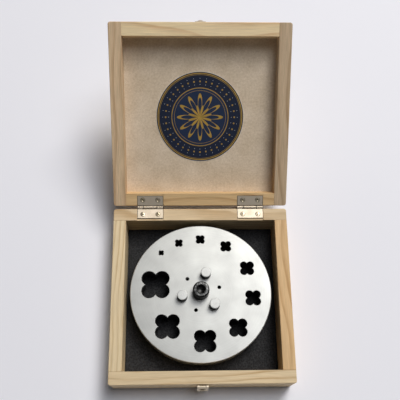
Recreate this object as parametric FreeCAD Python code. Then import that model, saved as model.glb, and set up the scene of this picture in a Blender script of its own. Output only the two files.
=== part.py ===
import FreeCAD, Part
import math
import os

V = FreeCAD.Vector
X = V(1, 0, 0)
Z = V(0, 0, 1)

# Origin: centre of the case's underside, hinges towards +Y, the rims facing +Z. Millimetres.

# Cutter: two round dies, with room for a finger round them
disc_r = 55.5
disc_room = 4.5
die_t = 8.0
die_edge = 0.5
cutter_x = -0.3
cutter_y = 1.5

# Wooden case, as wide as the cutter, its room and the walls need
wall = 10.0
case_side = 2 * (disc_r + disc_room + wall)
base_height = 26.0
lid_height = 15.0
corner_r = 2.0
edge_round = 0.6
shut_gap = 0.3
lid_open = 148.0

# Panels that close the base below and the lid above, each let into a rabbet
panel_t = 3.0
rabbet = 5.0

# Foam pad on the base's floor panel
foam_t = 2.0
foam_clear = 0.3

# Round label glued inside the lid
label_r = 35.0
label_t = 0.2

# Butt hinges: leaves let in flush with the rims, rolled knuckles and a pin
hinge_inset = 29.5
hinge_spacing = case_side - 2 * hinge_inset
hinge_w = 21.0
leaf_t = 0.7
leaf_seat = 8.3
leaf_clear = 0.1
hinge_offset = 1.15
barrel_r = 0.95
hinge_pin_r = 0.5
knuckle_gap = 0.15
turn_clear = 0.2
bore_clear = 0.05

# Countersunk hinge screws
screw_head_r = 1.9
screw_shank_r = 0.9
screw_cone = 1.0
screw_length = 6.5
screw_point = 1.5
screw_pitch = 12.2
screw_back = 4.8

# Latch on the front: a plate with knuckles, a swinging lever and a domed keeper
latch_w = 8.4
latch_plate_t = 0.6
latch_plate_drop = 11.0
latch_below_rim = 1.9
latch_offset = 1.75
latch_barrel_r = 1.65
lever_barrel_r = 1.4
latch_pin_r = 0.5
lever_t = 0.6
lever_reach = 12.5
lever_lip = 3.0
lever_lip_w = 6.0
lever_hole_r = 2.5
lever_corner_r = 1.2
stop_gap = 0.1

# Keeper plate with its dome, on the lid's front
keeper_t = 0.5
keeper_foot = 1.0
keeper_h = 12.0
dome_r = 3.15
dome_proud = 1.5
dome_height = 5.5

# Round-headed nails of the latch plate and the keeper
nail_head_r = 0.9
nail_head_t = 0.5
nail_chamfer = 0.3
nail_shank_r = 0.45
nail_length = 5.0
nail_spacing = 4.8
nail_edge = 2.4

# Four-lobed openings: ten overall widths, and the direction of each seen from above in degrees
opening_1 = 4.0
opening_2 = 6.0
opening_3 = 7.0
opening_4 = 8.5
opening_5 = 11.0
opening_6 = 12.0
opening_7 = 14.0
opening_8 = 17.0
opening_9 = 19.0
opening_10 = 22.0
openings = [
    (opening_1, 134.0),
    (opening_2, 113.0),
    (opening_3, 90.0),
    (opening_4, 61.5),
    (opening_5, 27.5),
    (opening_6, -7.0),
    (opening_7, -45.0),
    (opening_8, -86.0),
    (opening_9, -134.0),
    (opening_10, 170.0),
]
rim_web = 8.3
lobe_share = 0.268
mouth_chamfer = 0.2
cut_clear = 0.05
land = 3.0
relief = 0.4

# Guide pins fixed in the lower die, and tapped holes between them in the upper die
guide_ring_r = 15.0
guide_pin_r = 4.0
guide_count = 3
guide_angle = 74.5
guide_proud = 6.5
guide_recess = 0.5
guide_clear = 0.04
guide_chamfer = 0.6
jack_hole_r = 1.25

# Socket cap screw and washer that clamp the dies
cap_shank_r = 4.0
cap_length = 16.0
cap_head_r = 6.5
cap_head_h = 8.0
cap_head_edge = 0.6
cap_tip_edge = 0.8
socket_across = 6.0
socket_depth = 4.0
washer_r = 6.4
washer_t = 1.6
washer_hole_clear = 0.2
cap_hole_clear = 0.5

# Levels and places that follow from the sizes above
half = case_side / 2
inside = half - wall
rim_z = base_height
lid_z = rim_z + shut_gap
lid_top_z = lid_z + lid_height
hinge_y = half + hinge_offset
hinge_z = rim_z + shut_gap / 2
foam_z = panel_t + foam_t
parting_z = foam_z + die_t
die_top_z = parting_z + die_t
head_z = die_top_z + washer_t
latch_y = -half - latch_offset
latch_z = rim_z - latch_below_rim
lid_front_y = -half
spare = 5.0


def block(x0, x1, y0, y1, z0, z1):
    return Part.makeBox(x1 - x0, y1 - y0, z1 - z0, V(x0, y0, z0))


def rod(r, x0, x1, y, z):
    return Part.makeCylinder(r, x1 - x0, V(x0, y, z), X)


def disc(r, x, y, z0, z1):
    return Part.makeCylinder(r, z1 - z0, V(x, y, z0), Z)


def round_corners(shape, r, test):
    edges = [e for e in shape.Edges if test(e)]
    return shape.makeFillet(r, edges)


def upright(edge):
    a, b = edge.Vertexes[0].Point, edge.Vertexes[-1].Point
    return abs(a.z - b.z) > 0.5 * (abs(a.x - b.x) + abs(a.y - b.y)) + 0.001


# Four walls of the base or the lid, cut out of one ring with rounded outer edges
def wall_ring(z0, z1):
    ring = block(-half, half, -half, half, z0, z1)
    ring = round_corners(ring, corner_r, upright)
    ring = ring.makeFillet(edge_round, [e for e in ring.Edges if not upright(e)])
    return ring.cut(block(-inside, inside, -inside, inside, z0, z1))


def panel_seat(z0, z1):
    reach = inside + rabbet
    return block(-reach, reach, -reach, reach, z0, z1)


def strips(ring, along_x, z0, z1):
    low, high = -half - spare, half + spare
    if along_x:
        ends = [block(low, high, low, -inside, z0, z1), block(low, high, inside, high, z0, z1)]
        sides = [block(low, -inside, -inside, inside, z0, z1), block(inside, high, -inside, inside, z0, z1)]
    else:
        ends = [block(-inside, inside, low, -inside, z0, z1), block(-inside, inside, inside, high, z0, z1)]
        sides = [block(low, -inside, low, high, z0, z1), block(inside, high, low, high, z0, z1)]
    return [ring.common(region) for region in ends + sides]


# Countersunk wood screw pointing down from z, or up when the head faces down
def wood_screw(x, y, z, down):
    way = -1 if down else 1
    profile = [
        V(0, 0, 0),
        V(screw_head_r, 0, 0),
        V(screw_shank_r, 0, way * screw_cone),
        V(screw_shank_r, 0, way * (screw_length - screw_point)),
        V(0, 0, way * screw_length),
        V(0, 0, 0),
    ]
    turned = Part.Face(Part.makePolygon(profile)).revolve(V(0, 0, 0), Z, 360)
    turned.translate(V(x, y, z))
    return turned


def hinge_centres():
    return {"left": -hinge_spacing / 2, "right": hinge_spacing / 2}


def hinge_screws(z, down):
    screws = []
    for x in hinge_centres().values():
        for side in (-1, 1):
            screws.append(wood_screw(x + side * screw_pitch / 2, half - screw_back, z, down))
    return screws


# The leaves' pockets are sawn right across the wall
def leaf_pockets(z0, z1):
    pockets = []
    for x in hinge_centres().values():
        reach = hinge_w / 2 + leaf_clear
        pockets.append(block(x - reach, x + reach, inside - spare, half + spare, z0, z1))
    return pockets


# Hinge leaf: a flat plate with its knuckles rolled round the pin; the base has the outer two
def hinge_leaf(x, z0, z1, outer, screws):
    left, right = x - hinge_w / 2, x + hinge_w / 2
    inner = hinge_w / 4
    clear_y = hinge_y - barrel_r - turn_clear
    plate = block(left, right, half - leaf_seat, hinge_y, z0, z1)
    if outer:
        notch = [block(x - inner - knuckle_gap, x + inner + knuckle_gap, clear_y, hinge_y + spare, z0, z1)]
        knuckles = [rod(barrel_r, left, x - inner - knuckle_gap, hinge_y, hinge_z),
                    rod(barrel_r, x + inner + knuckle_gap, right, hinge_y, hinge_z)]
        hole_r = hinge_pin_r
    else:
        notch = [block(left, x - inner, clear_y, hinge_y + spare, z0, z1),
                 block(x + inner, right, clear_y, hinge_y + spare, z0, z1)]
        knuckles = [rod(barrel_r, x - inner, x + inner, hinge_y, hinge_z)]
        hole_r = hinge_pin_r + bore_clear
    leaf = plate.cut(notch).fuse(knuckles).removeSplitter()
    leaf = leaf.cut(rod(hole_r, left - spare, right + spare, hinge_y, hinge_z))
    return leaf.cut(screws)


# Round-headed nail driven into the front along +Y, its head on a plate of the given thickness
def nail(x, y_face, z, plate_t):
    head_y = y_face - plate_t
    shank = Part.makeCylinder(nail_shank_r, nail_length + plate_t, V(x, head_y, z), V(0, 1, 0))
    head = Part.makeCylinder(nail_head_r, nail_head_t, V(x, head_y - nail_head_t, z), V(0, 1, 0))
    head = head.makeChamfer(nail_chamfer, [e for e in head.Edges if e.CenterOfMass.y < head_y - nail_head_t / 2
                                           and len(e.Vertexes) == 1])
    return head.fuse(shank).removeSplitter()


def nail_pair(z, plate_t):
    return [nail(side * nail_spacing / 2, lid_front_y, z, plate_t) for side in (-1, 1)]


def base_case():
    ring = wall_ring(0, rim_z).cut(panel_seat(0, panel_t))
    front, back, left, right = strips(ring, True, -spare, rim_z + spare)
    screws = hinge_screws(rim_z, True)
    back = back.cut(leaf_pockets(rim_z - leaf_t, rim_z + spare)).cut(screws)
    nails = nail_pair(latch_z - latch_plate_drop + nail_edge, latch_plate_t)
    front = front.cut(nails)
    foam_reach = inside - foam_clear
    nodes = {
        "base_front_wall": front,
        "base_back_wall": back,
        "base_left_wall": left,
        "base_right_wall": right,
        "base_floor": panel_seat(0, panel_t),
        "foam_liner": block(-foam_reach, foam_reach, -foam_reach, foam_reach, panel_t, foam_z),
        "hinge_screws_base": Part.makeCompound(screws),
        "latch_plate_nails": Part.makeCompound(nails),
    }
    for side, x in hinge_centres().items():
        nodes["hinge_" + side + "_base_leaf"] = hinge_leaf(x, rim_z - leaf_t, rim_z, True, screws)
        nodes["hinge_" + side + "_pin"] = rod(hinge_pin_r, x - hinge_w / 2, x + hinge_w / 2, hinge_y, hinge_z)
    return nodes


# Latch plate with its two fixed knuckles, and the pin through them
def latch_base():
    edge = latch_w / 2
    inner = latch_w / 4 + knuckle_gap
    low_z = latch_z - latch_plate_drop
    plate = block(-edge, edge, -half - latch_plate_t, -half, low_z, latch_z)
    plate = round_corners(plate, lever_corner_r, lambda e: abs(e.CenterOfMass.z - low_z) < 0.01
                          and abs(abs(e.CenterOfMass.x) - edge) < 0.01)
    knuckles = [rod(latch_barrel_r, -edge, -inner, latch_y, latch_z),
                rod(latch_barrel_r, inner, edge, latch_y, latch_z)]
    lever_room = lever_barrel_r + turn_clear
    notch = block(-inner, inner, latch_y - spare, -half + spare, latch_z - lever_room, latch_z + spare)
    plate = plate.cut(notch).fuse(knuckles).removeSplitter()
    plate = plate.cut(rod(latch_pin_r, -half, half, latch_y, latch_z))
    plate = plate.cut(nail_pair(low_z + nail_edge, latch_plate_t))
    return {"latch_plate": plate, "latch_pin": rod(latch_pin_r, -edge, edge, latch_y, latch_z)}


# Lean of the hanging lever at which its lip meets the front wall
def lever_lean():
    along = lever_reach - lever_t
    across = lever_t / 2 + lever_lip
    span = math.hypot(along, across)
    return math.degrees(math.atan2(across, along) - math.asin((latch_offset - stop_gap) / span))


# Lever, made standing up as when latched and then swung down to where it hangs
def latch_lever():
    edge = latch_w / 2
    inner = latch_w / 4
    top_z = latch_z + lever_reach
    wide_z = latch_z + latch_barrel_r + turn_clear
    front_y, back_y = latch_y - lever_t / 2, latch_y + lever_t / 2
    neck = block(-inner, inner, front_y, back_y, latch_z, wide_z + lever_t)
    strap = block(-edge, edge, front_y, back_y, wide_z, top_z)
    strap = round_corners(strap, lever_corner_r, lambda e: abs(abs(e.CenterOfMass.x) - edge) < 0.01
                          and abs(e.CenterOfMass.y - latch_y) < 0.01)
    lip_edge = lever_lip_w / 2
    lip = block(-lip_edge, lip_edge, front_y - lever_lip, back_y, top_z - lever_t, top_z)
    lip = round_corners(lip, lever_corner_r, lambda e: abs(e.CenterOfMass.y - front_y + lever_lip) < 0.01
                        and abs(abs(e.CenterOfMass.x) - lip_edge) < 0.01)
    lever = strap.fuse([neck, rod(lever_barrel_r, -inner, inner, latch_y, latch_z), lip]).removeSplitter()
    lever = lever.cut(rod(latch_pin_r + bore_clear, -edge, edge, latch_y, latch_z))
    hole = Part.makeCylinder(lever_hole_r, 2 * spare, V(0, latch_y - spare, lid_z + dome_height), V(0, 1, 0))
    lever = lever.cut(hole)
    lever.rotate(V(0, latch_y, latch_z), X, 180 - lever_lean())
    return {"latch_lever": lever}


# Keeper plate with its dome, as on the closed lid
def latch_keeper():
    edge = latch_w / 2
    low_z = lid_z + keeper_foot
    plate = block(-edge, edge, lid_front_y - keeper_t, lid_front_y, low_z, low_z + keeper_h)
    plate = round_corners(plate, lever_corner_r, lambda e: abs(abs(e.CenterOfMass.x) - edge) < 0.01
                          and abs(e.CenterOfMass.y - lid_front_y + keeper_t / 2) < 0.01)
    ball_r = (dome_r ** 2 + dome_proud ** 2) / (2 * dome_proud)
    centre_y = lid_front_y - keeper_t - dome_proud + ball_r
    ball = Part.makeSphere(ball_r, V(0, centre_y, lid_z + dome_height))
    cap = ball.common(block(-ball_r, ball_r, centre_y - ball_r, lid_front_y - keeper_t / 2,
                            lid_z + dome_height - ball_r, lid_z + dome_height + ball_r))
    nails = nail_pair(low_z + keeper_h - nail_edge, keeper_t)
    return plate.fuse(cap).removeSplitter().cut(nails), nails


def lid_case():
    ring = wall_ring(lid_z, lid_top_z).cut(panel_seat(lid_top_z - panel_t, lid_top_z))
    front, back, left, right = strips(ring, False, lid_z - spare, lid_top_z + spare)
    screws = hinge_screws(lid_z, False)
    back = back.cut(leaf_pockets(lid_z - spare, lid_z + leaf_t)).cut(screws)
    keeper, nails = latch_keeper()
    front = front.cut(nails)
    inner_z = lid_top_z - panel_t
    nodes = {
        "lid_front_wall": front,
        "lid_back_wall": back,
        "lid_left_wall": left,
        "lid_right_wall": right,
        "lid_panel": panel_seat(inner_z, lid_top_z),
        "lid_label": disc(label_r, 0, 0, inner_z - label_t, inner_z),
        "hinge_screws_lid": Part.makeCompound(screws),
        "latch_keeper": keeper,
        "latch_keeper_nails": Part.makeCompound(nails),
    }
    for side, x in hinge_centres().items():
        nodes["hinge_" + side + "_lid_leaf"] = hinge_leaf(x, lid_z, lid_z + leaf_t, False, screws)
    for shape in nodes.values():
        shape.rotate(V(0, hinge_y, hinge_z), X, -lid_open)
    return nodes


# Outline of a four-lobed opening: four arcs that meet in cusps on the X and Y axes
def quatrefoil(width, x, y, z, grow):
    lobe = lobe_share * width
    offset = width / 2 - lobe
    reach = lobe + grow
    cusp = offset + math.sqrt(reach ** 2 - offset ** 2)
    crown = offset + reach / math.sqrt(2)
    arcs = []
    for quarter in range(4):
        c, s = round(math.cos(quarter * math.pi / 2)), round(math.sin(quarter * math.pi / 2))
        points = []
        for px, py in ((cusp, 0), (crown, crown), (0, cusp)):
            points.append(V(x + px * c - py * s, y + px * s + py * c, z))
        arcs.append(Part.Arc(*points).toShape())
    return Part.Wire(arcs)


def opening_prism(width, x, y, z0, z1, grow):
    return Part.Face(quatrefoil(width, x, y, z0, grow)).extrude(V(0, 0, z1 - z0))


def opening_places():
    places = []
    for width, direction in openings:
        r = disc_r - rim_web - width / 2
        a = math.radians(direction)
        places.append((width, cutter_x + r * math.cos(a), cutter_y + r * math.sin(a)))
    return places


def ring_places(turn):
    places = []
    for k in range(guide_count):
        a = math.radians(turn + k * 360 / guide_count)
        places.append((cutter_x + guide_ring_r * math.cos(a), cutter_y + guide_ring_r * math.sin(a)))
    return places


def die_blank(z0):
    blank = disc(disc_r, cutter_x, cutter_y, z0, z0 + die_t)
    return blank.makeChamfer(die_edge, [e for e in blank.Edges if len(e.Vertexes) == 1])


def upper_die():
    tools = []
    for width, x, y in opening_places():
        tools.append(opening_prism(width, x, y, parting_z, die_top_z, 0))
        mouth = [quatrefoil(width, x, y, die_top_z - mouth_chamfer, 0),
                 quatrefoil(width, x, y, die_top_z, mouth_chamfer)]
        tools.append(Part.makeLoft(mouth, True, True))
    for x, y in ring_places(guide_angle):
        tools.append(disc(guide_pin_r + guide_clear, x, y, parting_z, die_top_z))
    for x, y in ring_places(guide_angle - 180 / guide_count):
        tools.append(disc(jack_hole_r, x, y, parting_z, die_top_z))
    tools.append(disc(cap_shank_r + cap_hole_clear, cutter_x, cutter_y, parting_z, die_top_z))
    return die_blank(parting_z).cut(tools)


def lower_die():
    tools = []
    for width, x, y in opening_places():
        tools.append(opening_prism(width, x, y, parting_z - land, parting_z, cut_clear))
        tools.append(opening_prism(width, x, y, foam_z, parting_z - land, relief))
    for x, y in ring_places(guide_angle):
        tools.append(disc(guide_pin_r, x, y, foam_z, parting_z))
    tools.append(disc(cap_shank_r + bore_clear, cutter_x, cutter_y, foam_z, parting_z))
    return die_blank(foam_z).cut(tools)


def guide_pins():
    pins = []
    for x, y in ring_places(guide_angle):
        pin = disc(guide_pin_r, x, y, foam_z + guide_recess, die_top_z + guide_proud)
        pins.append(pin.makeChamfer(guide_chamfer, [e for e in pin.Edges if len(e.Vertexes) == 1]))
    return Part.makeCompound(pins)


def hexagon(across, x, y, z):
    r = across / math.sqrt(3)
    corners = [V(x + r * math.cos(k * math.pi / 3), y + r * math.sin(k * math.pi / 3), z) for k in range(7)]
    return Part.Face(Part.makePolygon(corners))


def clamp_screw():
    head = disc(cap_head_r, cutter_x, cutter_y, head_z, head_z + cap_head_h)
    top_z = head_z + cap_head_h
    head = head.makeChamfer(cap_head_edge, [e for e in head.Edges
                                            if len(e.Vertexes) == 1 and e.CenterOfMass.z > top_z - 0.01])
    shank = disc(cap_shank_r, cutter_x, cutter_y, head_z - cap_length, head_z)
    tip_z = head_z - cap_length
    shank = shank.makeChamfer(cap_tip_edge, [e for e in shank.Edges
                                             if len(e.Vertexes) == 1 and e.CenterOfMass.z < tip_z + 0.01])
    socket = hexagon(socket_across, cutter_x, cutter_y, top_z - socket_depth).extrude(V(0, 0, socket_depth))
    return head.fuse(shank).removeSplitter().cut(socket)


def clamp_washer():
    ring = disc(washer_r, cutter_x, cutter_y, die_top_z, head_z)
    return ring.cut(disc(cap_shank_r + washer_hole_clear, cutter_x, cutter_y, die_top_z, head_z))


def cutter():
    return {
        "lower_die": lower_die(),
        "upper_die": upper_die(),
        "guide_pins": guide_pins(),
        "clamp_screw": clamp_screw(),
        "clamp_washer": clamp_washer(),
    }


os.makedirs("parts", exist_ok=True)
for make in (base_case, latch_base, latch_lever, lid_case, cutter):
    for node, shape in make().items():
        shape.exportStep("parts/" + node + ".step")
        print(node, len(shape.Solids), "solid", round(shape.Volume, 2), "mm3", shape.isValid())
print("lever lean", lever_lean())
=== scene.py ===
import math

import bmesh
import bpy
from mathutils import Matrix, Vector, noise


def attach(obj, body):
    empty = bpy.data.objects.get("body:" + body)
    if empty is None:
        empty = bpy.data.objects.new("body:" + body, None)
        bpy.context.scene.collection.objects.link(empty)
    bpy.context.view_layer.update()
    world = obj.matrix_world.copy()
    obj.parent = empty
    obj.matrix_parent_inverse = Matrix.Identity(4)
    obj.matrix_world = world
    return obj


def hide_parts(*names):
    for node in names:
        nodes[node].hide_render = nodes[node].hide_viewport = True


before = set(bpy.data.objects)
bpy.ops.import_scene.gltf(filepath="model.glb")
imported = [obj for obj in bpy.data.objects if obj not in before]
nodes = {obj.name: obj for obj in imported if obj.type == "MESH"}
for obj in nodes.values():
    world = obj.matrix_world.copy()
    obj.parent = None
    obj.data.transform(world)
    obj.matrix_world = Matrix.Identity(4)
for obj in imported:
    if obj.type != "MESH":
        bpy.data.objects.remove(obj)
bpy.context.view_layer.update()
scene = bpy.context.scene
mm = 0.001
print("frame loaded:", len(nodes), "nodes")

# The lid is drawn shut and then swung open with the hinges
lid = {"open": 148.0, "hingeY": 71.15, "hingeZ": 26.15}
hinge = Vector((0.0, lid["hingeY"], lid["hingeZ"]))
lidSwing = (
    Matrix.Translation(hinge * mm)
    @ Matrix.Rotation(math.radians(-lid["open"]), 4, "X")
    @ Matrix.Translation(-hinge * mm)
)


# Camera at the photograph's place, looking down into the open case
photoView = {
    "place": (-12.84, -109.0, 455.78),
    "turn": (0.31363, -0.02674, -0.00531),
    "focal": 570.8,
    "centreDown": 55.0,
    "frame": 400.0,
    "sensor": 36.0,
}


def addCamera(name, given):
    data = bpy.data.cameras.new(name)
    data.sensor_width = given["sensor"]
    data.lens = given["focal"] / given["frame"] * given["sensor"]
    data.shift_y = given["centreDown"] / given["frame"]
    camera = bpy.data.objects.new(name, data)
    turn = Matrix()
    for angle, axis in zip(given["turn"], "XYZ"):
        turn = turn @ Matrix.Rotation(angle, 4, axis)
    camera.matrix_world = Matrix.Translation(Vector(given["place"]) * mm) @ turn
    scene.collection.objects.link(camera)
    scene.camera = camera


addCamera("photoCamera", photoView)
print("camera set")


# Soft studio light: a panel high behind on the right and one overhead. The room is pale near the
# horizon and dim above; the camera and polished metal see that, but it adds little light.
studio = {
    "key": {"place": (1.26, 2.0, 3.14), "aim": (0.0, 0.05, 0.0), "size": 1.42, "level": 0.62,
            "colour": "#FFFCF8"},
    "overhead": {"place": (0.62, 0.55, 2.4), "aim": (0.0, 0.05, 0.0), "size": 1.3, "level": 0.4,
                 "colour": "#F6F8FF"},
    "room": {"colour": "#EEF0F4", "level": 0.05, "seen": 0.8, "band": 0.85},
    "floor": {"colour": "#F2F2F7", "half": 3.0, "near": 0.7, "far": 2.8, "glow": 0.35},
}


def linear(code):  # sRGB hex to the linear colour that the shader wants
    parts = [int(code[i : i + 2], 16) / 255 for i in (1, 3, 5)]
    return [c / 12.92 if c <= 0.04045 else ((c + 0.055) / 1.055) ** 2.4 for c in parts] + [1.0]


def addPanelLight(name, given):
    data = bpy.data.lights.new(name, "AREA")
    data.size = given["size"]
    place, aim = Vector(given["place"]), Vector(given["aim"])
    # At this power a white card at the aim point, facing the panel, renders at the stated level
    data.energy = given["level"] * math.pi**2 * (place - aim).length_squared
    data.color = linear(given["colour"])[:3]
    lamp = bpy.data.objects.new(name, data)
    lamp.location = place
    lamp.rotation_euler = (place - aim).to_track_quat("Z", "Y").to_euler()
    scene.collection.objects.link(lamp)


addPanelLight("keyPanel", studio["key"])
addPanelLight("overheadPanel", studio["overhead"])


# Adds one shader node: inputs take numbers, colours or other nodes' outputs, and stops are the
# places and greys of a ramp
def addNode(tree, kind, inputs=None, output=0, stops=None, **settings):
    node = tree.nodes.new("ShaderNode" + kind)
    for name, value in settings.items():
        setattr(node, name, value)
    for key, value in (inputs or {}).items():
        if isinstance(value, bpy.types.NodeSocket):
            tree.links.new(value, node.inputs[key])
        else:
            node.inputs[key].default_value = value
    if stops:
        marks = node.color_ramp.elements
        while len(marks) < len(stops):
            marks.new(0.5)
        for mark, (place, grey) in zip(marks, stops):
            mark.position = place
            mark.color = (grey, grey, grey, 1.0)
    return None if output is None else node.outputs[output]


# 1 for the rays of the camera and of gloss and glass, 0 for those that light the object
def seenRays(tree):
    seen = 0.0
    for ray in ("Is Camera Ray", "Is Glossy Ray", "Is Transmission Ray"):
        isRay = addNode(tree, "LightPath", output=ray)
        seen = addNode(tree, "Math", {0: seen, 1: isRay}, operation="MAXIMUM")
    return seen


def makeRoom(given):
    room = bpy.data.worlds.new("paleRoom")
    room.use_nodes = True
    tree = room.node_tree
    tree.nodes.clear()
    up = addNode(tree, "TexCoord", output="Generated")
    up = addNode(tree, "SeparateXYZ", {"Vector": up}, "Z")
    band = {"Value": up, "From Min": 0.0, "From Max": given["band"],
            "To Min": given["seen"], "To Max": given["level"]}
    band = addNode(tree, "MapRange", band, interpolation_type="SMOOTHSTEP")
    strength = addNode(tree, "Mix", {0: seenRays(tree), 2: given["level"], 3: band})
    surface = addNode(tree, "Background", {"Color": linear(given["colour"]), "Strength": strength})
    addNode(tree, "OutputWorld", {"Surface": surface}, None)
    scene.world = room


makeRoom(studio["room"])
scene.view_settings.view_transform = "Standard"
print("lights set")


def makeMaterial(name, paint, *given):
    material = bpy.data.materials.new(name)
    material.use_nodes = True
    tree = material.node_tree
    tree.nodes.clear()
    surface = addNode(tree, "BsdfPrincipled", paint(tree, *given))
    addNode(tree, "OutputMaterial", {"Surface": surface}, None)
    return material


# Where a point of the surface is, in millimetres; on the lid, where it is with the lid shut
def placeInMm(tree, onLid):
    spot = addNode(tree, "TexCoord", output="Object")
    swing = math.radians(lid["open"]) if onLid else 0.0
    shift = hinge - Matrix.Rotation(swing, 3, "X") @ hinge
    rotation, scale = (swing, 0.0, 0.0), (1 / mm,) * 3
    inputs = {"Vector": spot, "Location": shift, "Rotation": rotation, "Scale": scale}
    return addNode(tree, "Mapping", inputs)


# Most values of a noise texture lie in this span
noiseSpan = {"From Min": 0.3, "From Max": 0.7}

# Planed pine, oiled thin: pale early wood, a tan late wood line in each growth ring, fine
# fibres along the board and a soft sheen. Rings are circles round a pith outside the board.
pineBoards = {
    "base_front_wall": {"along": "X", "lid": False, "centre": (-65, 13), "pith": (26, -30),
                        "ring": 3.4, "early": "#E3CBA2", "late": "#B6915E", "start": 11},
    "base_back_wall": {"along": "X", "lid": False, "centre": (65, 13), "pith": (-18, -34),
                       "ring": 4.2, "early": "#DFC69E", "late": "#B38E5B", "start": 230},
    "base_left_wall": {"along": "Y", "lid": False, "centre": (65, 13), "pith": (30, -24),
                       "ring": 3.0, "early": "#E9D3AA", "late": "#BA9864", "start": 470},
    "base_right_wall": {"along": "Y", "lid": False, "centre": (-65, 13), "pith": (-20, -28),
                        "ring": 3.6, "early": "#DFBA87", "late": "#B3854B", "start": 650},
    "lid_front_wall": {"along": "X", "lid": True, "centre": (-65, 34), "pith": (14, 22),
                       "ring": 5.0, "early": "#FCE3B4", "late": "#D8A873", "start": 934},
    "lid_back_wall": {"along": "X", "lid": True, "centre": (65, 34), "pith": (20, 30),
                      "ring": 3.8, "early": "#E6C38F", "late": "#AE7E47", "start": 1130},
    "lid_left_wall": {"along": "Y", "lid": True, "centre": (65, 34), "pith": (34, 16),
                      "ring": 4.6, "early": "#E4C7A0", "late": "#B98F65", "start": 1370,
                      "streak": (0.74, 1.12)},
    "lid_right_wall": {"along": "Y", "lid": True, "centre": (-65, 34), "pith": (-30, 20),
                       "ring": 5.2, "early": "#CFB593", "late": "#A5835C", "start": 1590,
                       "streak": (0.76, 1.12)},
}
# How far growth sweeps and ripples across a board, over what lengths, and how fine its fibres are
pineFigure = {"sweep": 26.0, "sweepOver": 150.0, "ripple": 1.2, "rippleOver": 22.0,
              "patchOver": 35.0, "fibre": (1 / 15, 2.2, 2.2), "streak": (0.84, 1.08),
              "lateRelief": 0.35}


def paintPine(tree, board):
    spot = placeInMm(tree, board["lid"])
    turn = 0.0 if board["along"] == "X" else -math.pi / 2
    spot = addNode(tree, "Mapping", {"Vector": spot, "Rotation": (0.0, 0.0, turn)})
    # Growth wanders slowly along the board: some 8 mm over 150, and half a millimetre over 20
    start = (board["start"], 0, 0)
    slow = addNode(tree, "Mapping", {"Vector": spot, "Location": start, "Scale": (1, 3, 3)})
    bent = spot
    for size, length, detail in (("sweep", "sweepOver", 1.0), ("ripple", "rippleOver", 2.0)):
        wave = {"Vector": slow, "Scale": 1 / pineFigure[length], "Detail": detail}
        wave = addNode(tree, "TexNoise", wave, "Color")
        reach = (0, pineFigure[size], pineFigure[size])
        bent = addNode(tree, "VectorMath", {0: wave, 1: reach, 2: bent}, operation="MULTIPLY_ADD")
    # A noise is 0.5 in the mean, so the pith moves along by half the sweep
    across, height = (board["centre"][i] + board["pith"][i] for i in (0, 1))
    pith = (0.0, across + pineFigure["sweep"] / 2, height + pineFigure["sweep"] / 2)
    offset = addNode(tree, "VectorMath", {0: bent, 1: pith}, operation="SUBTRACT")
    offset = addNode(tree, "VectorMath", {0: offset, 1: (0, 1, 1)}, operation="MULTIPLY")
    radius = addNode(tree, "VectorMath", {0: offset}, "Value", operation="LENGTH")
    years = addNode(tree, "Math", {0: radius, 1: board["ring"]}, operation="DIVIDE")
    season = addNode(tree, "Math", {0: years}, operation="FRACT")
    stops = [(0.0, 0.1), (0.3, 0.0), (0.62, 0.25), (0.86, 0.85), (0.93, 0.8), (1.0, 0.1)]
    late = addNode(tree, "ValToRGB", {"Fac": season}, stops=stops)
    # Fibres about 0.4 mm wide and 15 mm long, drawn twice as coarse as pine's so that they show
    thread = {"Vector": spot, "Location": start, "Scale": pineFigure["fibre"]}
    thread = addNode(tree, "Mapping", thread)
    fibre = {"Vector": thread, "Scale": 1.0, "Detail": 3.0, "Roughness": 0.6}
    fibre = addNode(tree, "TexNoise", fibre, "Fac")
    patch = {"Vector": slow, "Scale": 1 / pineFigure["patchOver"], "Detail": 2.0}
    patch = addNode(tree, "TexNoise", patch, "Fac")
    share = addNode(tree, "MapRange", {"Value": patch, **noiseSpan, "To Min": 0.35, "To Max": 0.95})
    ringShade = addNode(tree, "Math", {0: late, 1: share}, operation="MULTIPLY")
    colour = {0: ringShade, 6: linear(board["early"]), 7: linear(board["late"])}
    colour = addNode(tree, "Mix", colour, 2, data_type="RGBA")
    dim, bright = board.get("streak", pineFigure["streak"])
    streak = {"Value": fibre, "From Min": 0.3, "From Max": 0.72, "To Min": dim, "To Max": bright}
    mottle = {"Value": patch, **noiseSpan, "To Min": 0.95, "To Max": 1.04}
    for shade in (streak, mottle):
        shade = addNode(tree, "MapRange", shade)
        colour = addNode(tree, "VectorMath", {0: colour, "Scale": shade}, operation="SCALE")
    rough = addNode(tree, "MapRange", {"Value": fibre, **noiseSpan, "To Min": 0.74, "To Max": 0.6})
    relief = {0: late, 1: pineFigure["lateRelief"], 2: fibre}
    relief = addNode(tree, "Math", relief, operation="MULTIPLY_ADD")
    bump = {"Height": relief, "Distance": 0.06 * mm, "Strength": 0.6}
    return {"Base Color": colour, "Roughness": rough, "IOR": 1.5,
            "Normal": addNode(tree, "Bump", bump)}


for boardName, board in pineBoards.items():
    pine = makeMaterial("planedPine." + boardName, paintPine, board)
    nodes[boardName].data.materials.clear()
    nodes[boardName].data.materials.append(pine)
print("pine boards painted")


# Hardboard with a sanded face: pressed fibres give a beige mottle with darker hairs
hardboard = {"pale": "#E8D7BF", "dark": "#CAB597", "hair": "#96795A", "fleck": 1.6, "cloud": 14.0,
             "tangle": 4.0, "bend": 5.0, "faint": 0.45}


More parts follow.
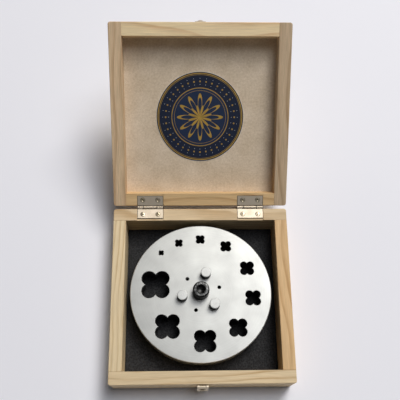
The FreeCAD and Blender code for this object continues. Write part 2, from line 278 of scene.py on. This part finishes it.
def paintHardboard(tree, given, onLid):
    spot = placeInMm(tree, onLid)
    cloud = {"Vector": spot, "Scale": 1 / given["cloud"], "Detail": 3.0}
    cloud = addNode(tree, "TexNoise", cloud, "Fac")
    fleck = {"Vector": spot, "Scale": 1 / given["fleck"], "Detail": 4.0, "Roughness": 0.7}
    fleck = addNode(tree, "TexNoise", fleck, "Fac")
    tangle = {"Vector": spot, "Scale": 1 / given["tangle"], "Detail": 1.0}
    tangle = addNode(tree, "TexNoise", tangle, "Color")
    bent = {0: tangle, 1: (given["bend"],) * 3, 2: spot}
    bent = addNode(tree, "VectorMath", bent, operation="MULTIPLY_ADD")
    hair = addNode(tree, "TexNoise", {"Vector": bent, "Scale": 0.9, "Detail": 0.0}, "Fac")
    hair = addNode(tree, "ValToRGB", {"Fac": hair}, stops=[(0.47, 0.0), (0.5, 0.55), (0.53, 0.0)])
    mixed = addNode(tree, "Math", {0: cloud, 1: 0.6, 2: fleck}, operation="MULTIPLY_ADD")
    share = addNode(tree, "MapRange", {"Value": mixed, "From Min": 0.55, "From Max": 1.05})
    colour = {0: share, 6: linear(given["dark"]), 7: linear(given["pale"])}
    colour = addNode(tree, "Mix", colour, 2, data_type="RGBA")
    faint = addNode(tree, "Math", {0: hair, 1: given["faint"]}, operation="MULTIPLY")
    colour = {0: faint, 6: colour, 7: linear(given["hair"])}
    colour = addNode(tree, "Mix", colour, 2, data_type="RGBA")
    rough = addNode(tree, "MapRange", {"Value": fleck, **noiseSpan, "To Min": 0.7, "To Max": 0.85})
    bump = {"Height": fleck, "Distance": 0.05 * mm, "Strength": 0.5}
    return {"Base Color": colour, "Roughness": rough, "IOR": 1.48,
            "Normal": addNode(tree, "Bump", bump)}


# Birch plywood floor: a rotary cut face, pale with wide wandering figure
plywood = {"pale": "#DCC8A2", "dark": "#BFA273", "figure": 9.0, "bands": 5.0}


def paintPlywood(tree, given):
    spot = placeInMm(tree, False)
    wide = addNode(tree, "Mapping", {"Vector": spot, "Scale": (0.12, 1, 1)})
    wave = {"Vector": wide, "Scale": 1 / given["figure"], "Detail": 2.0, "Distortion": 1.2}
    wave = addNode(tree, "TexNoise", wave, "Fac")
    band = addNode(tree, "Math", {0: wave, 1: given["bands"]}, operation="MULTIPLY")
    band = addNode(tree, "Math", {0: band}, operation="FRACT")
    figure = addNode(tree, "ValToRGB", {"Fac": band},
                     stops=[(0.0, 0.1), (0.7, 0.5), (0.9, 1.0), (1.0, 0.1)])
    thread = addNode(tree, "Mapping", {"Vector": spot, "Scale": (1 / 12, 2, 2)})
    fibre = addNode(tree, "TexNoise", {"Vector": thread, "Scale": 1.0, "Detail": 3.0}, "Fac")
    share = addNode(tree, "Math", {0: figure, 1: fibre}, operation="MULTIPLY")
    colour = {0: share, 6: linear(given["pale"]), 7: linear(given["dark"])}
    colour = addNode(tree, "Mix", colour, 2, data_type="RGBA")
    rough = addNode(tree, "MapRange", {"Value": fibre, "To Min": 0.65, "To Max": 0.5})
    bump = {"Height": fibre, "Distance": 0.04 * mm, "Strength": 0.5}
    return {"Base Color": colour, "Roughness": rough, "IOR": 1.5,
            "Normal": addNode(tree, "Bump", bump)}


# Printed vinyl label: navy ink with gold foil, a plain rosette inside rings and dots
label = {"ink": "#141E33", "inner": "#1B2A45", "foil": "#CFA850", "paleInk": "#D9DCE2",
         "paper": "#E9E6DF", "radius": 35.0, "disc": 22.6,
         "rings": ((33.7, 0.32), (32.7, 0.12), (22.6, 0.28), (20.6, 0.1)),
         "dots": 36, "goldDots": (27.6, 0.62), "paleDots": ((30.0, 0.22), (25.2, 0.22)),
         "petals": 12, "petalReach": (18.5, 15.2, 9.5)}


def paintLabel(tree, given):
    spot = placeInMm(tree, True)
    x = addNode(tree, "SeparateXYZ", {"Vector": spot}, "X")
    y = addNode(tree, "SeparateXYZ", {"Vector": spot}, "Y")
    flat = addNode(tree, "VectorMath", {0: spot, 1: (1, 1, 0)}, operation="MULTIPLY")
    radius = addNode(tree, "VectorMath", {0: flat}, "Value", operation="LENGTH")
    angle = addNode(tree, "Math", {0: y, 1: x}, operation="ARCTAN2")

    def inside(away, reach, soft):  # 1 nearer than reach, falling to 0 over the soft edge
        fall = {"Value": away, "From Min": reach - soft, "From Max": reach + soft}
        return addNode(tree, "MapRange", {**fall, "To Min": 1.0, "To Max": 0.0})

    def ring(middle, halfWidth):  # 1 inside a ring, with an edge about 0.1 mm soft
        away = addNode(tree, "Math", {0: radius, 1: middle}, operation="SUBTRACT")
        away = addNode(tree, "Math", {0: away}, operation="ABSOLUTE")
        return inside(away, halfWidth, 0.06)

    def dots(middle, size):  # 1 inside each of a ring of round dots
        count = given["dots"]
        turn = addNode(tree, "Math", {0: angle, 1: count / (2 * math.pi)}, operation="MULTIPLY")
        part = addNode(tree, "Math", {0: turn, 1: 0.5}, operation="ADD")
        part = addNode(tree, "Math", {0: part}, operation="FRACT")
        side = addNode(tree, "Math", {0: part, 1: 0.5}, operation="SUBTRACT")
        pitch = 2 * math.pi * middle / count
        side = addNode(tree, "Math", {0: side, 1: pitch}, operation="MULTIPLY")
        out = addNode(tree, "Math", {0: radius, 1: middle}, operation="SUBTRACT")
        both = addNode(tree, "CombineXYZ", {"X": side, "Y": out})
        away = addNode(tree, "VectorMath", {0: both}, "Value", operation="LENGTH")
        return inside(away, size, 0.08)

    def petals(reach, turned=0.0):  # 1 inside a ring of pointed petals
        turn = {0: angle, 1: given["petals"] / 2, 2: turned}
        turn = addNode(tree, "Math", turn, operation="MULTIPLY_ADD")
        wave = addNode(tree, "Math", {0: turn}, operation="COSINE")
        wave = addNode(tree, "Math", {0: wave}, operation="ABSOLUTE")
        edge = addNode(tree, "Math", {0: wave, 1: reach}, operation="MULTIPLY")
        gap = addNode(tree, "Math", {0: edge, 1: radius}, operation="SUBTRACT")
        return addNode(tree, "MapRange", {"Value": gap, "From Min": -0.1, "From Max": 0.1})

    outer, disc = given["radius"], given["disc"]
    whole, hollow, heart = given["petalReach"]
    gold = {0: petals(whole), 1: petals(hollow)}
    gold = addNode(tree, "Math", gold, operation="SUBTRACT", use_clamp=True)
    shapes = [ring(*sizes) for sizes in given["rings"]]
    shapes += [dots(*given["goldDots"]), petals(heart, math.pi / 2)]
    for shape in shapes:
        gold = addNode(tree, "Math", {0: gold, 1: shape}, operation="MAXIMUM")
    farther, nearer = (dots(*sizes) for sizes in given["paleDots"])
    pale = addNode(tree, "Math", {0: farther, 1: nearer}, operation="MAXIMUM")
    beyond = addNode(tree, "MapRange", {"Value": radius, "From Min": disc - 0.1, "From Max": disc})
    edge = {"Value": radius, "From Min": outer - 0.25, "From Max": outer - 0.15}
    edge = addNode(tree, "MapRange", edge)
    foilTone = addNode(tree, "TexNoise", {"Vector": spot, "Scale": 0.18, "Detail": 2.0}, "Fac")
    foilTone = {"Value": foilTone, **noiseSpan, "To Min": 0.8, "To Max": 1.12}
    foilTone = addNode(tree, "MapRange", foilTone)
    foil = {0: linear(given["foil"])[:3], "Scale": foilTone}
    foil = addNode(tree, "VectorMath", foil, operation="SCALE")
    colour = linear(given["inner"])
    for share, over in ((beyond, linear(given["ink"])), (pale, linear(given["paleInk"])),
                        (gold, foil), (edge, linear(given["paper"]))):
        colour = addNode(tree, "Mix", {0: share, 6: colour, 7: over}, 2, data_type="RGBA")
    metal = addNode(tree, "Math", {0: gold, 1: 0.55}, operation="MULTIPLY")
    grain = addNode(tree, "TexNoise", {"Vector": spot, "Scale": 0.8, "Detail": 2.0}, "Fac")
    rough = addNode(tree, "MapRange", {"Value": grain, "To Min": 0.34, "To Max": 0.48})
    bump = {"Height": gold, "Distance": 0.02 * mm, "Strength": 0.5}
    return {"Base Color": colour, "Metallic": metal, "Roughness": rough, "IOR": 1.46,
            "Normal": addNode(tree, "Bump", bump)}


# Ground tool steel: a satin face with fine concentric grinding lines, upright faces painted darker
# as painted shade, chamfers painted paler as a painted highlight, and the three jacking holes
# painted black inside as painted shade
toolSteel = {"tone": "#A4A49F", "shade": "#979793", "edge": "#D6D6D2", "upright": 0.35, "line": 0.7,
             "rough": (0.425, 0.465), "centre": (-0.3, 1.5),
             "holeRing": 15.0, "holeTurn": 14.5, "hole": 1.5}
# Pin sides are painted nearly black, as painted shade
pinSteel = {**toolSteel, "tone": "#A3A39F", "upright": 0.08, "line": 0.5}


def paintSteel(tree, given):
    spot = placeInMm(tree, False)
    spot = addNode(tree, "VectorMath", {0: spot, 1: (*given["centre"], 0.0)}, operation="SUBTRACT")
    flat = addNode(tree, "VectorMath", {0: spot, 1: (1, 1, 0)}, operation="MULTIPLY")
    radius = addNode(tree, "VectorMath", {0: flat}, "Value", operation="LENGTH")
    height = addNode(tree, "SeparateXYZ", {"Vector": spot}, "Z")
    # Lines follow the radius on the faces and the height on the rim; real ones are ten times finer
    lay = addNode(tree, "CombineXYZ", {"X": radius, "Y": height})
    lines = {"Vector": lay, "Scale": 1 / given["line"], "Detail": 2.0}
    lines = addNode(tree, "TexNoise", lines, "Fac")
    cloud = addNode(tree, "TexNoise", {"Vector": spot, "Scale": 1 / 16, "Detail": 3.0}, "Fac")
    grit = addNode(tree, "TexNoise", {"Vector": spot, "Scale": 2.2, "Detail": 2.0}, "Fac")
    mixed = addNode(tree, "Math", {0: lines, 1: 0.5, 2: cloud}, operation="MULTIPLY_ADD")
    mixed = {"Value": mixed, "From Min": 0.5, "From Max": 1.0}
    share = addNode(tree, "MapRange", mixed)
    colour = {0: share, 6: linear(given["shade"]), 7: linear(given["tone"])}
    colour = addNode(tree, "Mix", colour, 2, data_type="RGBA")
    low, high = given["rough"]
    rough = addNode(tree, "MapRange", {**mixed, "To Min": high, "To Max": low})
    facing = addNode(tree, "TexCoord", output="Normal")
    facing = addNode(tree, "SeparateXYZ", {"Vector": facing}, "Z")
    facing = addNode(tree, "Math", {0: facing}, operation="ABSOLUTE")
    # Faces that lean about 45 degrees are chamfers; they are painted paler, as a painted highlight
    chamfer = addNode(tree, "Math", {0: facing, 1: 0.7, 2: 0.2}, operation="COMPARE")
    colour = {0: chamfer, 6: colour, 7: linear(given["edge"])}
    colour = addNode(tree, "Mix", colour, 2, data_type="RGBA")
    rough = addNode(tree, "Math", {0: chamfer, 1: 0.2, 2: rough}, operation="MULTIPLY_ADD")
    # Upright faces are painted darker, as painted shade
    paintedShadeFactor = {"Value": facing, "From Min": 0.1, "From Max": 0.5, "To Min": given["upright"]}
    paintedShadeFactor = addNode(tree, "MapRange", paintedShadeFactor)
    # The three jacking holes are painted black inside, as painted shade
    nearest = 99.0  # farther off than any part of the dies
    for third in range(3):
        angle = math.radians(given["holeTurn"] + 120 * third)
        axis = (given["holeRing"] * math.cos(angle), given["holeRing"] * math.sin(angle), 0.0)
        away = addNode(tree, "VectorMath", {0: flat, 1: axis}, "Value", operation="DISTANCE")
        nearest = addNode(tree, "Math", {0: away, 1: nearest}, operation="MINIMUM")
    outside = addNode(tree, "Math", {0: nearest, 1: given["hole"]}, operation="GREATER_THAN")
    paintedShadeFactor = addNode(tree, "Math", {0: paintedShadeFactor, 1: outside}, operation="MULTIPLY")
    colour = addNode(tree, "VectorMath", {0: colour, "Scale": paintedShadeFactor}, operation="SCALE")
    relief = addNode(tree, "Math", {0: grit, 1: 0.6, 2: lines}, operation="MULTIPLY_ADD")
    bump = {"Height": relief, "Distance": 0.004 * mm, "Strength": 0.6}
    return {"Base Color": colour, "Metallic": 1.0, "Roughness": rough,
            "Normal": addNode(tree, "Bump", bump)}


# Black oxide on alloy steel: an oily near-black skin, grey where spanners rub the top of the
# head, and painted darker in the socket and at the knurl as painted shade
blackOxide = {"skin": "#353534", "rub": "#858582", "rough": (0.3, 0.45), "centre": (-0.3, 1.5),
              "head": 6.5, "socket": (0.56, 0.66), "knurl": (0.82, 0.92), "paintedShadeLevel": 0.38}


def paintOxide(tree, given):
    spot = placeInMm(tree, False)
    fine = addNode(tree, "TexNoise", {"Vector": spot, "Scale": 1.1, "Detail": 4.0}, "Fac")
    wear = addNode(tree, "ValToRGB", {"Fac": fine}, stops=[(0.46, 0.0), (0.56, 0.35), (0.68, 0.85)])
    colour = {0: wear, 6: linear(given["skin"]), 7: linear(given["rub"])}
    colour = addNode(tree, "Mix", colour, 2, data_type="RGBA")
    away = addNode(tree, "VectorMath", {0: spot, 1: (*given["centre"], 0.0)}, operation="SUBTRACT")
    away = addNode(tree, "VectorMath", {0: away, 1: (1, 1, 0)}, operation="MULTIPLY")
    away = addNode(tree, "VectorMath", {0: away}, "Value", operation="LENGTH")
    away = addNode(tree, "Math", {0: away, 1: given["head"]}, operation="DIVIDE")
    # The socket and the knurl are painted darker, as painted shade
    (inner, lip), (shoulder, outer) = given["socket"], given["knurl"]
    stops = [(inner, given["paintedShadeLevel"]), (lip, 1.0), (shoulder, 1.0), (outer, given["paintedShadeLevel"])]
    socketKnurlShade = addNode(tree, "ValToRGB", {"Fac": away}, stops=stops)
    colour = addNode(tree, "VectorMath", {0: colour, 1: socketKnurlShade}, operation="MULTIPLY")
    low, high = given["rough"]
    rough = addNode(tree, "MapRange", {"Value": fine, **noiseSpan, "To Min": low, "To Max": high})
    bump = {"Height": fine, "Distance": 0.01 * mm, "Strength": 0.5}
    return {"Base Color": colour, "Metallic": 1.0, "Roughness": rough,
            "Normal": addNode(tree, "Bump", bump)}


# Brass plate on pressed steel: pale gold, a little brushed along the leaf, dull in patches
brassPlate = {"tone": "#D0C3B0", "dull": "#C6B9A4", "rough": (0.55, 0.6)}
screwPlate = {"tone": "#D2C5AE", "dull": "#B0A387", "rough": (0.34, 0.44)}
# Dark lines on a hinge, partly oil and dirt and partly painted shade, by the distance along it from
# its middle, out from its axis and from a screw's axis. Each line is a distance and half a width of
# about 0.2 mm, twice the real one, so that it shows.
hingeSeams = {"dirtAndShade": "#2C251C", "share": 0.93, "faint": 0.62, "spacing": 81.0,
              "barrelRadius": 1.2, "screw": (6.1, 5.95, 0.0), "knuckle": (5.33, 0.28),
              "end": (10.4, 0.2), "front": (9.4, 0.22), "barrel": (1.4, 0.2),
              "head": (1.85, 0.2), "recess": (0.0, 0.5)}


def seamsOf(tree, spot, given):  # 1 in a seam, in the recess of a screw and beside the barrel
    along = addNode(tree, "SeparateXYZ", {"Vector": spot}, "X")
    along = addNode(tree, "Math", {0: along}, operation="ABSOLUTE")
    along = addNode(tree, "Math", {0: along, 1: given["spacing"] / 2}, operation="SUBTRACT")
    along = addNode(tree, "Math", {0: along}, operation="ABSOLUTE")
    out = addNode(tree, "VectorMath", {0: spot, 1: hinge}, operation="SUBTRACT")
    out = addNode(tree, "VectorMath", {0: out, 1: (0, 1, 1)}, operation="MULTIPLY")
    out = addNode(tree, "VectorMath", {0: out}, "Value", operation="LENGTH")
    flat = addNode(tree, "CombineXYZ", {"X": along, "Y": out})
    fromScrew = {0: flat, 1: given["screw"]}
    fromScrew = addNode(tree, "VectorMath", fromScrew, "Value", operation="DISTANCE")
    onBarrel = addNode(tree, "Math", {0: out, 1: given["barrelRadius"]}, operation="LESS_THAN")
    place, reach = given["knuckle"]
    seams = addNode(tree, "Math", {0: along, 1: place, 2: reach}, operation="COMPARE")
    seams = addNode(tree, "Math", {0: seams, 1: onBarrel}, operation="MULTIPLY")
    faint = given["faint"]
    for distance, seam, depth in ((along, "end", 1.0), (out, "front", 1.0), (out, "barrel", 1.0),
                                  (fromScrew, "head", faint), (fromScrew, "recess", faint)):
        place, reach = given[seam]
        line = addNode(tree, "Math", {0: distance, 1: place, 2: reach}, operation="COMPARE")
        line = addNode(tree, "Math", {0: line, 1: depth}, operation="MULTIPLY")
        seams = addNode(tree, "Math", {0: seams, 1: line}, operation="MAXIMUM")
    return seams


def paintPlate(tree, given):
    spot = placeInMm(tree, False)
    brushed = addNode(tree, "Mapping", {"Vector": spot, "Scale": (0.15, 3, 3)})
    lines = addNode(tree, "TexNoise", {"Vector": brushed, "Scale": 1.0, "Detail": 2.0}, "Fac")
    patch = addNode(tree, "TexNoise", {"Vector": spot, "Scale": 0.12, "Detail": 2.0}, "Fac")
    patch = {"Value": patch, "From Min": 0.35, "From Max": 0.65}
    share = addNode(tree, "MapRange", patch)
    colour = {0: share, 6: linear(given["dull"]), 7: linear(given["tone"])}
    colour = addNode(tree, "Mix", colour, 2, data_type="RGBA")
    # Seams, leaf edges, the barrel's foot and the screws' heads and recesses are painted dark: dirt
    # and painted shade
    dirtAndShadeShare = {0: seamsOf(tree, spot, hingeSeams), 1: hingeSeams["share"]}
    dirtAndShadeShare = addNode(tree, "Math", dirtAndShadeShare, operation="MULTIPLY")
    colour = {0: dirtAndShadeShare, 6: colour, 7: linear(hingeSeams["dirtAndShade"])}
    colour = addNode(tree, "Mix", colour, 2, data_type="RGBA")
    low, high = given["rough"]
    rough = addNode(tree, "MapRange", {**patch, "To Min": high, "To Max": low})
    bump = {"Height": lines, "Distance": 0.002 * mm, "Strength": 0.5}
    return {"Base Color": colour, "Metallic": 1.0, "Roughness": rough,
            "Normal": addNode(tree, "Bump", bump)}


# Closed cell foam sheet: black, dry, pitted all over
foam = {"cell": "#2C2C2D", "pit": "#040405", "pore": 1.3, "half": 59.7, "low": 3.0, "high": 5.0,
        "cut": 0.35, "sag": 0.14, "wave": 9.0, "steps": 72}


def paintFoam(tree, given):
    spot = placeInMm(tree, False)
    # Cells are 0.3 mm in the real sheet, drawn three times as wide so that they show
    cells = addNode(tree, "TexVoronoi", {"Vector": spot, "Scale": 1 / given["pore"]}, "Distance")
    speck = addNode(tree, "TexNoise", {"Vector": spot, "Scale": 0.8, "Detail": 3.0}, "Fac")
    share = addNode(tree, "Math", {0: cells, 1: speck}, operation="MULTIPLY")
    share = addNode(tree, "MapRange", {"Value": share, "From Min": 0.05, "From Max": 0.4})
    colour = {0: share, 6: linear(given["pit"]), 7: linear(given["cell"])}
    colour = addNode(tree, "Mix", colour, 2, data_type="RGBA")
    bump = {"Height": cells, "Distance": 0.12 * mm, "Strength": 0.7}
    return {"Base Color": colour, "Roughness": 0.92, "IOR": 1.45,
            "Sheen Weight": 0.12, "Sheen Roughness": 0.5,
            "Normal": addNode(tree, "Bump", bump)}


finishes = {
    "toolSteel": makeMaterial("groundToolSteel", paintSteel, toolSteel),
    "pinSteel": makeMaterial("hardenedPinSteel", paintSteel, pinSteel),
    "oxide": makeMaterial("blackOxideSteel", paintOxide, blackOxide),
    "brass": makeMaterial("brassPlatedSteel", paintPlate, brassPlate),
    "screw": makeMaterial("platedScrewSteel", paintPlate, screwPlate),
    "foam": makeMaterial("blackFoamSheet", paintFoam, foam),
    "label": makeMaterial("printedVinyl", paintLabel, label),
    "panel": makeMaterial("sandedHardboard", paintHardboard, hardboard, True),
    "floor": makeMaterial("birchPlywood", paintPlywood, plywood),
}
finishOf = {
    "toolSteel": ["lower_die", "upper_die"],
    "pinSteel": ["guide_pins", "hinge_left_pin", "hinge_right_pin", "latch_pin"],
    "oxide": ["clamp_screw", "clamp_washer"],
    "brass": ["hinge_left_base_leaf", "hinge_right_base_leaf",
              "hinge_left_lid_leaf", "hinge_right_lid_leaf",
              "latch_plate", "latch_lever", "latch_keeper"],
    "screw": ["hinge_screws_base", "hinge_screws_lid", "latch_plate_nails", "latch_keeper_nails"],
    "foam": ["foam_liner"],
    "label": ["lid_label"],
    "panel": ["lid_panel"],
    "floor": ["base_floor"],
}
for finish, members in finishOf.items():
    for member in members:
        nodes[member].data.materials.clear()
        nodes[member].data.materials.append(finishes[finish])
print("finishes set:", len(finishes))


# Edges of the CAD solids, broken a little as a maker does with sandpaper or a file. Points that
# meet are welded and flat facets joined first; lengths in millimetres, angles in degrees.
softEdges = {"wood": 0.4, "board": 0.15, "plate": 0.12, "weld": 0.002, "flat": 0.5, "corner": 38.0}


def softenEdges(node, width):
    weld = node.modifiers.new("weld", "WELD")
    weld.merge_threshold = softEdges["weld"] * mm
    flatten = node.modifiers.new("flatten", "DECIMATE")
    flatten.decimate_type = "DISSOLVE"
    flatten.angle_limit = math.radians(softEdges["flat"])
    bevel = node.modifiers.new("brokenEdge", "BEVEL")
    bevel.width = width * mm
    bevel.segments = 2
    bevel.limit_method = "ANGLE"
    bevel.angle_limit = math.radians(softEdges["corner"])
    shade = node.modifiers.new("shade", "WEIGHTED_NORMAL")
    shade.keep_sharp = True


for boardName in pineBoards:
    softenEdges(nodes[boardName], softEdges["wood"])
for member in ("lid_panel", "base_floor"):
    softenEdges(nodes[member], softEdges["board"])
for member in finishOf["brass"]:
    softenEdges(nodes[member], softEdges["plate"])
print("edges softened")


# Lays rings of points round upright axes and skins them, bottom to top. A ring is a radius, or
# a function that gives the radius at an angle, and a height. Both ends close on the axis.
def skinRings(name, rings, centres, segments, matrix=None):
    mesh = bmesh.new()
    for centreX, centreY in centres:
        rows = []
        for radius, height in rings:
            row = []
            for step in range(segments):
                angle = 2 * math.pi * step / segments
                reach = radius(angle) if callable(radius) else radius
                x, y = centreX + reach * math.cos(angle), centreY + reach * math.sin(angle)
                row.append(mesh.verts.new(Vector((x, y, height)) * mm))
            rows.append(row)
        ends = [mesh.verts.new(Vector((centreX, centreY, rings[i][1])) * mm) for i in (0, -1)]
        for step in range(segments):
            after = (step + 1) % segments
            mesh.faces.new((ends[0], rows[0][after], rows[0][step]))
            mesh.faces.new((ends[1], rows[-1][step], rows[-1][after]))
            for lower, upper in zip(rows, rows[1:]):
                mesh.faces.new((lower[step], lower[after], upper[after], upper[step]))
    if matrix:
        mesh.transform(matrix)
    return addPiece(name, mesh)


def addPiece(name, mesh, sharp=32.0):
    bmesh.ops.recalc_face_normals(mesh, faces=mesh.faces)
    for face in mesh.faces:
        face.smooth = True
    for edge in mesh.edges:
        if len(edge.link_faces) == 2 and edge.calc_face_angle() > math.radians(sharp):
            edge.smooth = False
    data = bpy.data.meshes.new(name)
    mesh.to_mesh(data)
    mesh.free()
    piece = bpy.data.objects.new(name, data)
    scene.collection.objects.link(piece)
    return piece


def settle(piece, finish, slot, body, *stoodFor):
    piece.data.materials.append(finishes[finish])
    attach(piece, body)
    if stoodFor:
        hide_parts(*stoodFor)


# Foam sheet, cut soft at its edges and a little uneven
def makeFoam(given):
    mesh = bmesh.new()
    steps, half, cut = given["steps"], given["half"], given["cut"]
    top, under = [], []
    for row in range(steps + 1):
        topRow, underRow = [], []
        for column in range(steps + 1):
            spots = [-half + 2 * half * i / steps for i in (column, row)]
            # The outermost line is drawn down to a soft edge, all within it sags unevenly
            onEdge = 0 in (column, row, steps - column, steps - row)
            wave = noise.noise(Vector((spots[0] / given["wave"], spots[1] / given["wave"], 0.3)))
            drop = cut if onEdge else given["sag"] * (0.5 + 0.5 * wave)
            topRow.append(mesh.verts.new(Vector((*spots, given["high"] - drop)) * mm))
            underRow.append(mesh.verts.new(Vector((*spots, given["low"])) * mm))
        top.append(topRow)
        under.append(underRow)
    for row in range(steps):
        for column in range(steps):
            corners = ((row, column), (row, column + 1), (row + 1, column + 1), (row + 1, column))
            mesh.faces.new([top[i][j] for i, j in corners])
            mesh.faces.new([under[i][j] for i, j in (corners[0], *corners[:0:-1])])
    for i in range(steps):
        for a, b in (((0, i), (0, i + 1)), ((i + 1, steps), (i, steps)),
                     ((i, 0), (i + 1, 0)), ((steps, i + 1), (steps, i))):
            mesh.faces.new((top[a[0]][a[1]], top[b[0]][b[1]], under[b[0]][b[1]], under[a[0]][a[1]]))
    piece = addPiece("foamSheet", mesh, 50.0)
    settle(piece, "foam", "foam", "case_base", "foam_liner")


makeFoam(foam)
print("foam laid")


# Hinge screws: low domed heads with a cross recess, countersunk into the leaves
hingeScrew = {"head": 1.9, "dome": 0.12, "cone": 1.0, "shank": 0.9, "length": 6.5, "point": 1.5,
              "armHalf": 0.27, "armReach": 1.15, "recess": 0.75,
              "spacing": 81.0, "pitch": 12.2, "back": 65.2, "segments": 48}


def crossShape(armHalf, armReach):
    def reachAt(angle):
        off = abs((angle + math.pi / 4) % (math.pi / 2) - math.pi / 4)
        return min(armReach / math.cos(off), armHalf / max(math.sin(off), 0.001))
    return reachAt


def makeHingeScrews(name, given, face, way, body, stoodFor, matrix=None):
    half, reach = given["armHalf"], given["armReach"]
    rings = [
        (0.05, -given["length"]),
        (given["shank"], -given["length"] + given["point"]),
        (given["shank"], -given["cone"]),
        (given["head"] - 0.06, -0.12),
        (given["head"], -0.06),
        (given["head"] - 0.35, given["dome"] * 0.8),
        (crossShape(half + 0.06, reach + 0.08), given["dome"]),
        (crossShape(half, reach), given["dome"] - 0.1),
        (crossShape(half * 0.6, reach * 0.35), given["dome"] - given["recess"]),
        (0.05, given["dome"] - given["recess"] - 0.1),
    ]
    rings = [(radius, face + way * height) for radius, height in rings]
    centres = [(side * given["spacing"] / 2 + end * given["pitch"] / 2, given["back"])
               for side in (-1, 1) for end in (-1, 1)]
    piece = skinRings(name, rings, centres, given["segments"], matrix)
    settle(piece, "screw", "screw_plate", body, stoodFor)


makeHingeScrews("hingeScrewsOfBase", hingeScrew, 26.0, 1, "case_base", "hinge_screws_base")
makeHingeScrews("hingeScrewsOfLid", hingeScrew, 26.3, -1, "case_lid", "hinge_screws_lid", lidSwing)
print("hinge screws made")


# Clamp screw: knurled head with a hexagon socket and a cut thread of 1.25 mm pitch
clampScrew = {"centre": (-0.3, 1.5), "foot": 22.6, "top": 30.6, "head": 6.5, "knurl": 0.2,
              "across": 6.0, "mouth": 3.75, "socket": 4.0, "thread": 4.0, "depth": 0.72,
              "pitch": 1.25, "tip": 6.6, "segments": 96}


def makeClampScrew(given):
    foot, top, head, segments = given["foot"], given["top"], given["head"], given["segments"]

    def hexagon(across):
        return lambda angle: across / 2 / math.cos(angle % (math.pi / 3) - math.pi / 6)

    def knurled(angle):
        return head - given["knurl"] * (round(angle / (2 * math.pi) * segments) % 2)

    def thread(height):
        def reachAt(angle):
            turn = (height / given["pitch"] - angle / (2 * math.pi)) % 1
            crest = min(abs(2 * turn - 1) * 1.15, 1.0)
            worn = min((height - given["tip"]) / 0.8, 1.0)
            return given["thread"] - given["depth"] * (1 - crest) - 0.7 * (1 - worn)
        return reachAt

    # From the tip up: the thread, the plain shank, the head's side and round shoulder, the socket
    rings = []
    height = given["tip"]
    while height < foot - 2.0:
        rings.append((thread(height), height))
        height += given["pitch"] / 8
    shank, drive, bottom = given["thread"] - 0.02, hexagon(given["across"]), top - given["socket"]
    rings += [(given["thread"] - 0.3, foot - 1.9), (shank, foot - 1.5), (shank, foot)]
    rings += [(head - 0.35, foot), (head - 0.1, foot + 0.25), (knurled, foot + 0.45)]
    rings += [(knurled, top - 1.35), (head - 0.1, top - 1.2), (head - 0.2, top - 0.75)]
    rings += [(head - 0.45, top - 0.35), (head - 0.9, top - 0.05), (head - 1.3, top)]
    rings += [(given["mouth"], top), (drive, top - 0.5), (drive, bottom), (0.6, bottom - 1.0)]
    piece = skinRings("clampScrewKnurled", rings, [given["centre"]], segments)
    settle(piece, "oxide", "black_oxide", "screw", "clamp_screw")


makeClampScrew(clampScrew)
print("clamp screw made")


# Guide pins: ground, chamfered, with the lathe's centre mark left in each top
guidePin = {"radius": 4.0, "low": 5.5, "high": 27.5, "chamfer": 0.3, "mark": 0.3, "ring": 15.0,
            "turn": 74.5, "centre": (-0.3, 1.5), "segments": 64}


def makeGuidePins(given):
    radius, low, high, cut = (given[key] for key in ("radius", "low", "high", "chamfer"))
    rings = [(0.05, low), (radius - cut, low), (radius, low + cut), (radius, high - cut),
             (radius - 0.08, high - cut + 0.12), (radius - cut + 0.05, high - 0.04),
             (radius - cut - 0.05, high), (radius - cut - 0.2, high),
             (given["mark"], high), (0.05, high - 0.3)]
    centres = []
    for third in range(3):
        angle = math.radians(given["turn"] + 120 * third)
        centres.append((given["centre"][0] + given["ring"] * math.cos(angle),
                        given["centre"][1] + given["ring"] * math.sin(angle)))
    piece = skinRings("guidePinsGround", rings, centres, given["segments"])
    settle(piece, "pinSteel", "pin_steel", "cutter_lower", "guide_pins")


makeGuidePins(guidePin)
print("guide pins made")


# Plain pale floor, not part of the object. Far from the lamps it keeps its pale tone for the
# camera and for gloss.
def paintFloor(tree, given):
    spot = addNode(tree, "TexCoord", output="Object")
    tone = addNode(tree, "TexNoise", {"Vector": spot, "Scale": 3.0, "Detail": 2.0}, "Fac")
    tone = addNode(tree, "MapRange", {"Value": tone, "To Min": 0.985, "To Max": 1.015})
    colour = {0: linear(given["colour"])[:3], "Scale": tone}
    colour = addNode(tree, "VectorMath", colour, operation="SCALE")
    away = addNode(tree, "VectorMath", {0: spot}, "Value", operation="LENGTH")
    glow = {"Value": away, "To Max": given["glow"],
            "From Min": given["near"], "From Max": given["far"]}
    glow = addNode(tree, "MapRange", glow)
    glow = addNode(tree, "Math", {0: glow, 1: seenRays(tree)}, operation="MULTIPLY")
    return {"Base Color": colour, "Roughness": 0.9,
            "Emission Color": linear(given["colour"]), "Emission Strength": glow}


floorMesh = bmesh.new()
bmesh.ops.create_grid(floorMesh, x_segments=8, y_segments=8, size=studio["floor"]["half"])
floor = addPiece("studioFloor", floorMesh)
floor.data.materials.append(makeMaterial("paleFloor", paintFloor, studio["floor"]))
print("floor laid")
